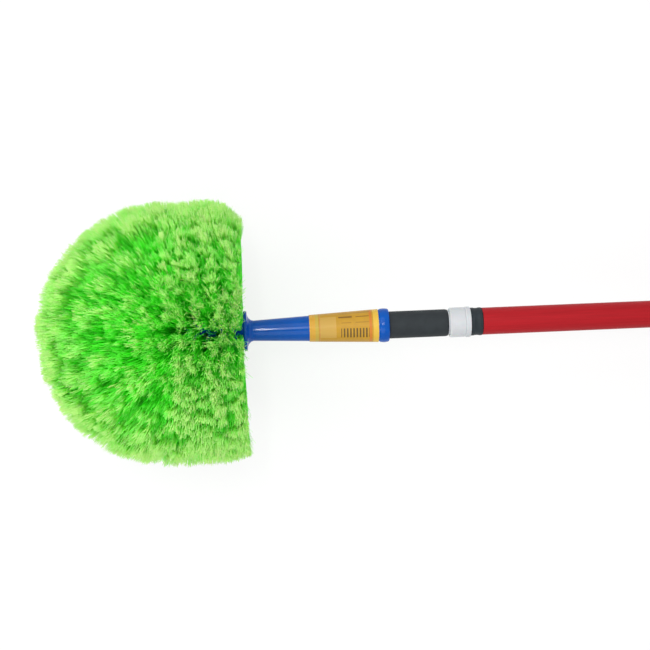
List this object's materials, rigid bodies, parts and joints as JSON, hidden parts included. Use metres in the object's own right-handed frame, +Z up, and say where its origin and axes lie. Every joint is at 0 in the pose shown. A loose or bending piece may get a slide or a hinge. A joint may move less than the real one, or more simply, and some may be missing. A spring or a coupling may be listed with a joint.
{
  "type": "cobweb duster",
  "caption": "Telescopic cobweb duster: domed filament brush head on a push-fit tip, twist-lock extension pole with a hanging eye.",
  "frame": {"origin": "on the floor, under the middle of the closed duster's bounding box, as it lies at rest on its filament dome and its end cap", "axes": "+Z up, +X along the pole away from the brush, as seen from above; the pole slopes 6.1 degrees down towards +X"},
  "size_m": [1.1993, 0.2448, 0.2474],
  "materials": {
    "red_coated_steel": "satin",
    "black_plastic": "satin",
    "natural_plastic": "satin",
    "white_plastic": "satin",
    "plain_steel": "satin",
    "dark_grey_plastic": "matte",
    "blue_plastic": "satin",
    "yellow_label": "satin",
    "green_filament": "satin"
  },
  "bodies": {
    "pole_outer": {"outer_tube": "red_coated_steel", "lock_body": "black_plastic", "end_cap": "black_plastic"},
    "collet": {"split_collet": "natural_plastic"},
    "nut": {"lock_nut": "white_plastic"},
    "guide": {"guide_bush": "black_plastic"},
    "pole_inner": {"inner_tube": "plain_steel", "tip_ferrule": "dark_grey_plastic"},
    "brush_head": {"brush_socket": "blue_plastic", "product_label": "yellow_label", "bristle_crown": "green_filament", "bristle_ring_1": "green_filament", "bristle_ring_2": "green_filament", "bristle_ring_3": "green_filament", "bristle_ring_4": "green_filament"}
  },
  "joints": [
    {"name": "extend", "type": "slide", "parent": "pole_outer", "child": "guide", "axis": [-0.9943, 0, 0.1064], "range_m": [0, 0.65]},
    {"name": "inner_turn", "type": "hinge", "parent": "guide", "child": "pole_inner", "pos_m": [-0.2782, 0, 0.10423], "axis": [-0.9943, 0, 0.1064], "continuous": true},
    {"name": "collet_shift", "type": "slide", "parent": "pole_outer", "child": "collet", "axis": [-0.9943, 0, 0.1064], "range_m": [0, 0.001]},
    {"name": "nut_turn", "type": "hinge", "parent": "collet", "child": "nut", "pos_m": [-0.21282, 0, 0.09723], "axis": [-0.9943, 0, 0.1064], "range_deg": [0, 180]},
    {"name": "head_draw_off", "type": "slide", "parent": "pole_inner", "child": "brush_head", "axis": [-0.9943, 0, 0.1064], "range_m": [0, 0.055]}
  ],
  "couplings": [
    {"joint": "collet_shift", "follows": "nut_turn", "m_per_rad": 0.00031831}
  ]
}
